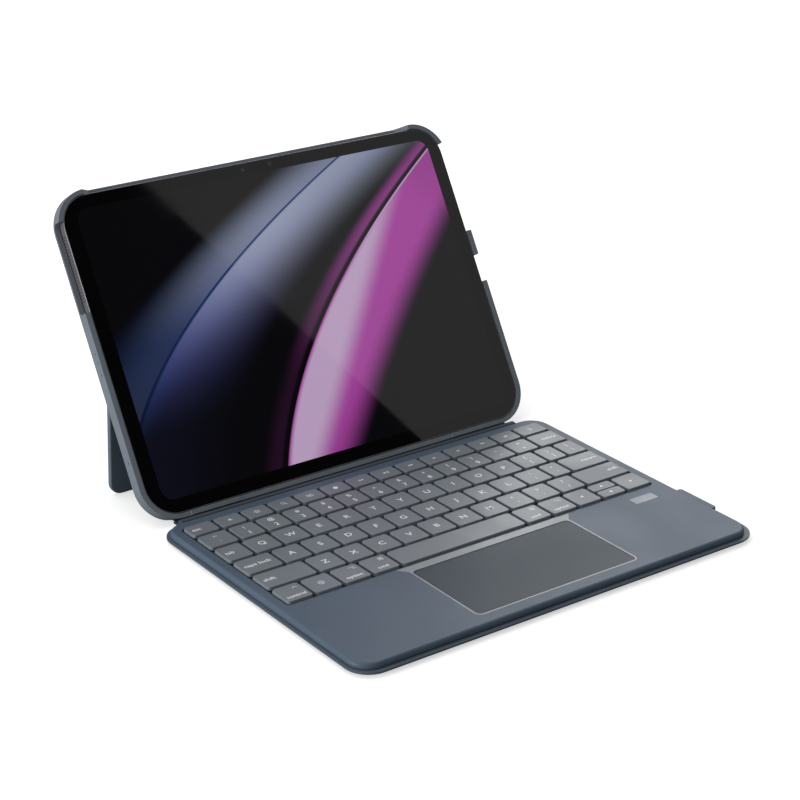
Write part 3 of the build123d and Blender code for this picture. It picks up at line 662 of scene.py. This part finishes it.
def print_key(bm, text, low, high, sizes):
    """Prints one key's legend inside the box of its cap."""
    x, y = (low.x + high.x) / 2, (low.y + high.y) / 2
    z = high.z + sizes.legend_lift
    if len(text) == 1:
        glyphs(bm, text, x, y, z, sizes.letter, stretch=1.12)
    elif len(text) == 2 and text[0] not in "_":
        glyphs(bm, text[0], x, y + 3.1 * MM, z, sizes.mark * glyph_share(text[0]))
        glyphs(bm, text[1], x, y - 3.0 * MM, z, sizes.mark * glyph_share(text[1]))
    elif text == "_-":
        bar(bm, x, y + 2.2 * MM, z, 2.1 * MM, LINE)
        bar(bm, x, y - 3.0 * MM, z, 1.6 * MM, LINE)
    elif text.startswith("*"):
        icon(bm, text[1:], x, y, z)
    elif text.startswith("<"):
        glyphs(bm, text[1:], low.x + WORD_EDGE, y, z, sizes.word, "LEFT", 1.1)
    elif text.startswith(">"):
        glyphs(bm, text[1:], high.x - WORD_EDGE, y, z, sizes.word, "RIGHT", 1.1)
    else:
        word, kind = text[1:].split("/")
        glyphs(bm, word, x, y - 3.9 * MM, z, sizes.word * 0.92, stretch=1.08)
        icon(bm, kind, x + 3.6 * MM, y + 3.9 * MM, z)


def glyph_share(mark):
    """Small marks keep their natural size next to the digits."""
    return 1.0 if mark.isdigit() else 0.85


class CASE_OT_legends(bpy.types.Operator):
    """Prints the letters, words and pictograms on the keys"""
    bl_idname = "case.legends"
    bl_label = "Key legends"

    def execute(self, context):
        sizes = context.scene.case_sizes
        colours = context.scene.case_colours
        print_ink = plastic("Legend print", colours.legend, 0.4, 0.5)
        for node, texts in LEGENDS.items():
            if not texts:
                continue
            caps = islands(node)
            if len(caps) != len(texts):
                raise RuntimeError(f"{node} has {len(caps)} caps for {len(texts)} legends")
            bm = bmesh.new()
            for text, (low, high) in zip(texts, caps):
                print_key(bm, text, low, high, sizes)
            mesh_piece(node + "_print", as_mesh(bm, node + "_print"), node, print_ink)
        return {"FINISHED"}


# ---- operators for the finishes -----------------------------------------------------------------
class CASE_OT_groups(bpy.types.Operator):
    """Builds the shader groups that the finishes share"""
    bl_idname = "case.groups"
    bl_label = "Shader groups"

    def execute(self, context):
        for name, make in GROUP_MAKERS.items():
            GROUPS[name] = make()
        return {"FINISHED"}


class CASE_OT_skins(bpy.types.Operator):
    """Covers the deck, the cover, the tray, the back panel and the stand with soft grained skin"""
    bl_idname = "case.skins"
    bl_label = "Soft skins"

    def execute(self, context):
        colours = context.scene.case_colours
        cells = 1.0 / context.scene.case_sizes.grain
        paint(skin("Deck skin", colours.deck, cells), "top_deck", "side_tab")
        paint(skin("Cover skin", colours.flange, cells), "bottom_cover")
        paint(skin("Tray skin", colours.shell, cells), "back_shell")
        paint(skin("Back panel skin", shade(colours.shell, 0.94), cells), "back_plate")
        paint(skin("Stand skin", colours.stand, cells), "kickstand")
        # The hinge strip's dark skin colour is partly painted shade.
        paint(skin("Hinge skin", colours.strip, cells * 1.3), "hinge_strip")
        return {"FINISHED"}


class CASE_OT_keys(bpy.types.Operator):
    """Finishes the keys, the web between them, the trackpad and its trim"""
    bl_idname = "case.keys"
    bl_label = "Keys and trackpad"

    def execute(self, context):
        colours = context.scene.case_colours
        paint(plastic("Key plastic", colours.key), *LEGENDS)
        paint(plastic("Web plastic", colours.web, 0.5, 0.62), "key_web", "contact_block")
        pad = plastic("Trackpad face", colours.pad, 0.46, 0.49, FINE_RELIEF / 2, Specular_IOR_Level=0.28)
        paint(pad, "trackpad_plate")
        paint(plastic("Trackpad trim", colours.trim, 0.3, 0.4), "trackpad_trim")
        badge = finish("Badge metal", shade(colours.badge, 0.9), colours.badge, "brushed", {}, 0.42, 0.55,
                       FINE_RELIEF, Metallic=0.55)
        paint(badge, "blank_badge")
        return {"FINISHED"}


class CASE_OT_insides(bpy.types.Operator):
    """Finishes what is inside the base, the strip and the tray"""
    bl_idname = "case.insides"
    bl_label = "Inner pieces"

    def execute(self, context):
        steel = metal("Sheet steel", tone("8d9092"), tone("b4b7b9"))
        paint(steel, "trackpad_frame", "key_backplate", "strip_core")
        hinge = metal("Hinge steel", tone("6b6e71"), tone("8e9193"), 0.2, 0.3)
        paint(hinge, "kickstand_barrels", "kickstand_pins")
        paint(metal("Black screws", tone("2c2e30"), tone("45484a"), 0.3, 0.45), "cover_screws")
        nickel = metal("Nickel magnets", tone("b9bbbe"), tone("d6d8da"), 0.12, 0.22)
        paint(nickel, "closing_magnets", "tray_magnets")
        paint(metal("Gold pins", tone("c99a3c"), tone("e6c06a"), 0.15, 0.25), "contact_pins")
        domes = plastic("Silicone domes", tone("d3d6d6"), 0.4, 0.55, Subsurface_Weight=0.2)
        paint(domes, "switch_domes", "trackpad_switch")
        rubber = finish("Foot rubber", tone("1c1e20"), tone("272a2c"), "pebble", {"Scale": 2600.0}, 0.6, 0.78,
                        0.02 * MM)
        paint(rubber, "foot_strips")
        membrane = finish("Printed membrane", tone("9fb4a8"), tone("5a6e66"), "tracks", {}, 0.25, 0.35,
                          FINE_RELIEF)
        paint(membrane, "switch_membrane")
        board = finish("Circuit board", tone("123c26"), tone("1f5c3a"), "tracks", {"Scale": 700.0}, 0.25, 0.4,
                       0.006 * MM)
        paint(board, "controller_board")
        ribbon = finish("Amber ribbon", tone("a8661b"), tone("6e3c0e"), "tracks", {"Scale": 900.0}, 0.25,
                        0.35, FINE_RELIEF)
        paint(ribbon, "hinge_ribbon")
        lining = finish("Tray lining", tone("3c4045"), tone("565b61"), "nap", {}, 0.8, 0.95, 0.06 * MM,
                        Sheen_Weight=0.3)
        paint(lining, "shell_lining")
        return {"FINISHED"}


class CASE_OT_tablet(bpy.types.Operator):
    """Finishes the tablet that stands in the tray"""
    bl_idname = "case.tablet"
    bl_label = "Tablet"

    def execute(self, context):
        colours = context.scene.case_colours
        paint(screen_material(colours), "tablet_glass")
        paint(plastic("Panel black", tone("08080a"), 0.1, 0.2), "display_panel")
        blasted = finish("Blasted metal", shade(colours.body, 0.93), shade(colours.body, 1.05), "satin",
                         {"Scale": 9000.0}, 0.4, 0.46, FINE_RELIEF, Metallic=0.6)
        paint(blasted, "tablet_body", "volume_up", "volume_down", "power_button")
        paint(plastic("Housing glass", tone("3a3c40"), 0.08, 0.16), "camera_housing")
        paint(plastic("Lens glass", tone("050609"), 0.02, 0.05, Coat_Weight=1.0), "camera_lenses")
        return {"FINISHED"}


# Places on the tablet, in millimetres across, up and out of the glass.
GAP = 0.012  # lets a printed or flat detail show above the surface under it
FRONT_LENS = (8.6, 174.0)
FRONT_SENSOR = (-9.3, 173.4)
SPEAKER_START, SPEAKER_ROWS, SPEAKER_HOLES = 121.5, (-2.3, -3.9), 22
PORT = (123.2, 88.7, -2.95)
HOUSING, HOUSING_FACE, LENS_STEP = (-101.0, 153.5), -7.2, 6.2


class CASE_OT_tablet_details(bpy.types.Operator):
    """Adds the front camera, the speaker holes, the port's tongue and the lens rings"""
    bl_idname = "case.tablet_details"
    bl_label = "Tablet details"

    def execute(self, context):
        sizes = context.scene.case_sizes
        # Black for the front lens and the port's tongue. On the speaker holes the same black is painted
        # shade.
        dark = plastic("Black and painted hole shade", tone("060607"), 0.3, 0.5)
        lens_blue = plastic("Front lens", tone("10131c"), 0.03, 0.08, Coat_Weight=1.0)
        right = Vector((1, 0, 0))

        bm = bmesh.new()
        disc(bm, on_glass(*FRONT_LENS, GAP), right, GLASS_UP, 1.1 * MM, 0.0, 32)
        disc(bm, on_glass(*FRONT_SENSOR, GAP), right, GLASS_UP, 0.9 * MM, 0.0, 32)
        windows = as_mesh(bm, "front_sensor_windows")
        mesh_piece("front_sensor_windows", windows, "tablet", lens_blue)

        bm = bmesh.new()
        disc(bm, on_glass(*FRONT_LENS, 0.02), right, GLASS_UP, 0.42 * MM, 0.0, 20)
        mesh_piece("front_lens", as_mesh(bm, "front_lens"), "tablet", dark)

        # Each speaker hole is a flat dark disc on the tablet's side: painted shade in place of the hole's
        # dark inside.
        bm = bmesh.new()
        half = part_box("tablet_body")[1].x / MM + GAP
        for side in (-1, 1):
            for row in SPEAKER_ROWS:
                for step in range(SPEAKER_HOLES):
                    centre = on_glass(side * half, SPEAKER_START + step * sizes.hole_pitch / MM, row)
                    disc(bm, centre, GLASS_UP, -GLASS_OUT, sizes.hole / 2, 0.0, 12)
        bmesh.ops.recalc_face_normals(bm, faces=bm.faces)
        mesh_piece("speaker_holes", as_mesh(bm, "speaker_holes"), "tablet", dark)

        bm = bmesh.new()
        bmesh.ops.create_cube(bm, size=1.0)
        bmesh.ops.scale(bm, vec=(2.6 * MM, 6.4 * MM, 0.7 * MM), verts=bm.verts)
        bmesh.ops.bevel(bm, geom=list(bm.edges), offset=0.14 * MM, segments=2, affect="EDGES")
        tilt = Matrix((right, GLASS_UP, GLASS_OUT)).transposed().to_4x4()
        bmesh.ops.transform(bm, matrix=Matrix.Translation(on_glass(*PORT)) @ tilt, verts=bm.verts)
        mesh_piece("port_tongue", as_mesh(bm, "port_tongue"), "tablet", dark)

        lens_u, lens_v = HOUSING
        lenses = ((lens_u - LENS_STEP, lens_v + LENS_STEP), (lens_u + LENS_STEP, lens_v - LENS_STEP))
        bm = bmesh.new()
        for u, v in lenses:
            disc(bm, on_glass(u, v, HOUSING_FACE), -right, GLASS_UP, 5.2 * MM, 4.3 * MM, 48, 0.12 * MM)
        flash = on_glass(lens_u + LENS_STEP, lens_v + LENS_STEP, HOUSING_FACE)
        disc(bm, flash, -right, GLASS_UP, 2.1 * MM, 0.0, 32, 0.06 * MM)
        bmesh.ops.recalc_face_normals(bm, faces=bm.faces)
        rings = metal("Lens rings", tone("7c7f84"), tone("9a9da1"), 0.15, 0.25)
        mesh_piece("lens_rings", as_mesh(bm, "lens_rings"), "tablet", rings)

        bm = bmesh.new()
        for u, v in lenses:
            for radius, inner in ((2.9, 2.5), (1.5, 0.0)):
                disc(bm, on_glass(u, v, HOUSING_FACE + 0.13), -right, GLASS_UP, radius * MM, inner * MM, 32)
        mesh_piece("lens_cores", as_mesh(bm, "lens_cores"), "tablet", lens_blue)
        return {"FINISHED"}


class CASE_OT_screw_recesses(bpy.types.Operator):
    """Draws a flat dark cross on each cover screw, as painted shade for its cross recess"""
    bl_idname = "case.screw_recesses"
    bl_label = "Screw recesses"

    def execute(self, context):
        # Painted shade: a flat dark cross just under each screw head stands in for the shade inside its cross
        # recess.
        dark = plastic("Painted recess shade", tone("0a0b0c"), 0.5, 0.6)
        bm = bmesh.new()
        for number, (low, high) in enumerate(islands("cover_screws")):
            x, y, z = (low.x + high.x) / 2, (low.y + high.y) / 2, low.z - 0.01 * MM
            turn = 0.4 + number * 0.7  # no two screws stop at the same angle
            for quarter in (0.0, math.pi / 2):
                bar(bm, x, y, z - quarter * 0.002 * MM, 1.9 * MM, 0.42 * MM, turn + quarter)
        bmesh.ops.reverse_faces(bm, faces=bm.faces)
        mesh_piece("screw_recesses", as_mesh(bm, "screw_recesses"), "keyboard_base", dark)
        return {"FINISHED"}


# ---- soft hinge skins --------------------------------------------------------------------------------
def skin_sheet(name, profile, half, thick, material):
    """Thin closed sheet that follows a (y, z) line and runs from -half to half."""
    bm = bmesh.new()
    columns = 28
    normals = []
    for index in range(len(profile)):
        before = profile[max(index - 1, 0)]
        after = profile[min(index + 1, len(profile) - 1)]
        way = Vector((after[0] - before[0], after[1] - before[1])).normalized()
        normals.append(Vector((-way.y, way.x)))
    loop = []
    for (y, z), normal in zip(profile, normals):
        loop.append((y + normal.x * thick / MM / 2, z + normal.y * thick / MM / 2))
    for (y, z), normal in reversed(list(zip(profile, normals))):
        loop.append((y - normal.x * thick / MM / 2, z - normal.y * thick / MM / 2))
    rows = []
    for column in range(columns + 1):
        x = -half + 2 * half * column / columns
        rows.append([bm.verts.new(Vector((x, y, z)) * MM) for y, z in loop])
    count = len(loop)
    for left, after in zip(rows, rows[1:]):
        for index in range(count):
            step = (index + 1) % count
            bm.faces.new((left[index], after[index], after[step], left[step]))
    bm.faces.new(list(reversed(rows[0])))
    bm.faces.new(rows[-1])
    bmesh.ops.recalc_face_normals(bm, faces=bm.faces)
    piece = bpy.data.objects.new(name, as_mesh(bm, name))
    piece.data.materials.append(material)
    bpy.context.scene.collection.objects.link(piece)
    return piece


# Lines that the two skins follow at rest, as (y, z), and half their width, all in millimetres.
FRONT_BEND = [(88.9, 3.06), (89.7, 3.06), (90.4, 2.9), (91.2, 2.5), (92.0, 2.24), (92.7, 2.2), (93.3, 2.2)]
REAR_BEND = [(98.4, 0.93), (99.4, 0.93), (100.4, 0.93), (101.0, 0.94), (101.7, 0.94), (102.4, 0.93),
             (103.2, 0.94), (104.0, 0.95), (105.0, 0.97)]
SKIN_HALF = 112.0


class CASE_OT_hinge_skins(bpy.types.Operator):
    """Adds the two flexible skins on both sides of the hinge strip, as fixed sheets in their rest shape"""
    bl_idname = "case.hinge_skins"
    bl_label = "Hinge skins"

    def execute(self, context):
        sizes = context.scene.case_sizes
        colours = context.scene.case_colours
        # The flexing skins take the hinge skin colour made darker again: painted shade for the narrow gaps
        # they lie in.
        material = skin("Flexing skin with painted shade", shade(colours.strip, 0.9), 1.3 / sizes.grain, 0.00002)
        sheet = skin_sheet("front_hinge_skin", FRONT_BEND, SKIN_HALF, sizes.skin, material)
        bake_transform(sheet)
        sheet = skin_sheet("rear_hinge_skin", REAR_BEND, SKIN_HALF, sizes.skin, material)
        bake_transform(sheet)
        return {"FINISHED"}


# ---- floor, lights and camera ------------------------------------------------------------------------
CAMERA_PLACE = Vector((-0.6376, -0.81085, 0.5177))
CAMERA_YAW = math.radians(36.43)
CAMERA_PITCH = math.radians(23.09)
CAMERA_ROLL = 0.0078

# Each light's name, place, width, height and power.
LIGHTS = (("overhead", (-0.3, 0.7, 1.5), 1.5, 1.5, 8.5),
          ("rear right", (1.5, 1.2, 0.9), 1.2, 0.9, 11.0),
          ("left", (-1.8, 0.15, 0.3), 1.2, 0.5, 21.0))
LIGHT_AIM = Vector((0, 0.05, 0.02))

# The glass reflects a pale and a dark card, which meet on a line between these two points of it.
SPLIT_FOOT, SPLIT_TOP = (50.7, 0.9), (-70.1, 175.6)
CARD_AWAY, CARD_WIDE = 1.6, 2.2


def area_light(name, place, wide, tall, power):
    """Soft rectangular light that looks at the case."""
    data = bpy.data.lights.new(name, "AREA")
    data.shape = "RECTANGLE"
    data.size = wide
    data.size_y = tall
    data.energy = power
    light = bpy.data.objects.new(name, data)
    light.location = place
    light.rotation_mode = "QUATERNION"
    light.rotation_quaternion = (LIGHT_AIM - Vector(place)).to_track_quat("-Z", "Y")
    bpy.context.scene.collection.objects.link(light)


def glow_card(name, corners, strength):
    """A card that only shows in reflections."""
    bm = bmesh.new()
    outline_face(bm, corners)
    mesh = as_mesh(bm, name)
    material = bpy.data.materials.new(name)
    material.use_nodes = True
    tree = material.node_tree
    tree.nodes.clear()
    glow = add(tree, "ShaderNodeEmission", {"Color": (1, 1, 1, 1), "Strength": strength})
    end = add(tree, "ShaderNodeOutputMaterial")
    tree.links.new(glow.outputs[0], end.inputs["Surface"])
    mesh.materials.append(material)
    card = bpy.data.objects.new(name, mesh)
    bpy.context.scene.collection.objects.link(card)
    card.visible_camera = False
    card.visible_diffuse = False
    card.visible_shadow = False
    card.visible_transmission = False


def mirrored(u, v, distance):
    """Where the camera's view of a point on the glass lands after the glass turns it back."""
    point = on_glass(u, v)
    way = (point - CAMERA_PLACE).normalized()
    way = way - 2 * way.dot(GLASS_OUT) * GLASS_OUT
    return point + way * distance


def brighten_seen_floor(tree):
    """The floor glows a little where the camera sees it, and reflects less light up at the case."""
    shader = next(n for n in tree.nodes if n.type == "BSDF_PRINCIPLED")
    end = next(n for n in tree.nodes if n.type == "OUTPUT_MATERIAL")
    seen = add(tree, "ShaderNodeLightPath").outputs["Is Camera Ray"]
    dim = add(tree, "ShaderNodeBsdfDiffuse", {"Color": (0.3, 0.3, 0.3, 1.0)})
    shader.inputs["Emission Color"].default_value = (1, 1, 1, 1)
    shader.inputs["Emission Strength"].default_value = 0.55
    either = add(tree, "ShaderNodeMixShader", {0: seen, 1: dim.outputs[0], 2: shader.outputs[0]})
    tree.links.new(either.outputs[0], end.inputs["Surface"])


class CASE_OT_stage(bpy.types.Operator):
    """Lays the pale floor and sets the studio lights and the camera"""
    bl_idname = "case.stage"
    bl_label = "Stage"

    def execute(self, context):
        scene = context.scene
        colours = scene.case_colours
        bm = bmesh.new()
        bmesh.ops.create_grid(bm, x_segments=1, y_segments=1, size=30.0)
        bmesh.ops.translate(bm, vec=(0, 0, -0.0001), verts=bm.verts)
        floor = bpy.data.objects.new("floor", as_mesh(bm, "floor"))
        scene.collection.objects.link(floor)
        pale = finish("Pale floor", shade(colours.floor, 0.99), colours.floor, "satin", {"Scale": 400.0}, 0.9,
                      1.0, 0.0, Specular_IOR_Level=0.0)
        brighten_seen_floor(pale.node_tree)
        floor.data.materials.append(pale)

        world = bpy.data.worlds.new("Studio")
        scene.world = world
        world.use_nodes = True
        tree = world.node_tree
        tree.nodes.clear()
        seen = add(tree, "ShaderNodeLightPath").outputs["Is Camera Ray"]
        level = ramp(tree, seen, 0.0, 1.0, 0.27, 1.0, "LINEAR")
        sky = add(tree, "ShaderNodeBackground", {"Color": (1, 1, 1, 1), "Strength": level})
        end = add(tree, "ShaderNodeOutputWorld")
        tree.links.new(sky.outputs[0], end.inputs["Surface"])

        for light in LIGHTS:
            area_light(*light)

        split_low, split_high = mirrored(*SPLIT_FOOT, CARD_AWAY), mirrored(*SPLIT_TOP, CARD_AWAY)
        along = split_high - split_low
        out = mirrored(0, 88, CARD_AWAY) - on_glass(0, 88)
        side = along.cross(out).normalized() * CARD_WIDE
        if side.x < 0:
            side = -side
        low, high = split_low - along * 2.5, split_high + along * 2.5
        glow_card("pale card", [low, high, high + side, low + side], 0.5)
        glow_card("dark card", [low, high, high - side, low - side], 0.02)

        data = bpy.data.cameras.new("camera")
        data.lens = scene.case_sizes.lens
        data.sensor_width = 36.0
        data.clip_end = 100.0
        camera = bpy.data.objects.new("camera", data)
        level = Vector((math.sin(CAMERA_YAW), math.cos(CAMERA_YAW), 0))
        ahead = level * math.cos(CAMERA_PITCH) - Vector((0, 0, math.sin(CAMERA_PITCH)))
        right = Vector((math.cos(CAMERA_YAW), -math.sin(CAMERA_YAW), 0))
        top = right.cross(ahead)
        c, s = math.cos(CAMERA_ROLL), math.sin(CAMERA_ROLL)
        turned = Matrix((right * c + top * s, top * c - right * s, -ahead)).transposed().to_4x4()
        camera.matrix_world = Matrix.Translation(CAMERA_PLACE) @ turned
        scene.collection.objects.link(camera)
        scene.camera = camera
        scene.view_settings.view_transform = "Standard"
        return {"FINISHED"}


class CASE_PT_panel(bpy.types.Panel):
    """Lists the steps and the settings"""
    bl_idname = "CASE_PT_panel"
    bl_label = "Keyboard case"
    bl_space_type = "VIEW_3D"
    bl_region_type = "UI"
    bl_category = "Case"

    def draw(self, context):
        for step in STEPS:
            self.layout.operator(step.bl_idname)
        for settings in (context.scene.case_sizes, context.scene.case_colours):
            box = self.layout.box()
            for name in settings.__annotations__:
                box.prop(settings, name)


STEPS = (CASE_OT_groups, CASE_OT_stage, CASE_OT_skins, CASE_OT_keys, CASE_OT_insides, CASE_OT_tablet,
         CASE_OT_tablet_details, CASE_OT_legends, CASE_OT_screw_recesses, CASE_OT_hinge_skins)
CLASSES = (CaseColours, CaseSizes, *STEPS, CASE_PT_panel)


def register():
    for cls in CLASSES:
        bpy.utils.register_class(cls)
    bpy.types.Scene.case_colours = bpy.props.PointerProperty(type=CaseColours)
    bpy.types.Scene.case_sizes = bpy.props.PointerProperty(type=CaseSizes)


def unregister():
    del bpy.types.Scene.case_sizes
    del bpy.types.Scene.case_colours
    for cls in reversed(CLASSES):
        bpy.utils.unregister_class(cls)


def main():
    register()
    for step in STEPS:
        area, name = step.bl_idname.split(".")
        getattr(getattr(bpy.ops, area), name)()


if __name__ == "__main__":
    main()
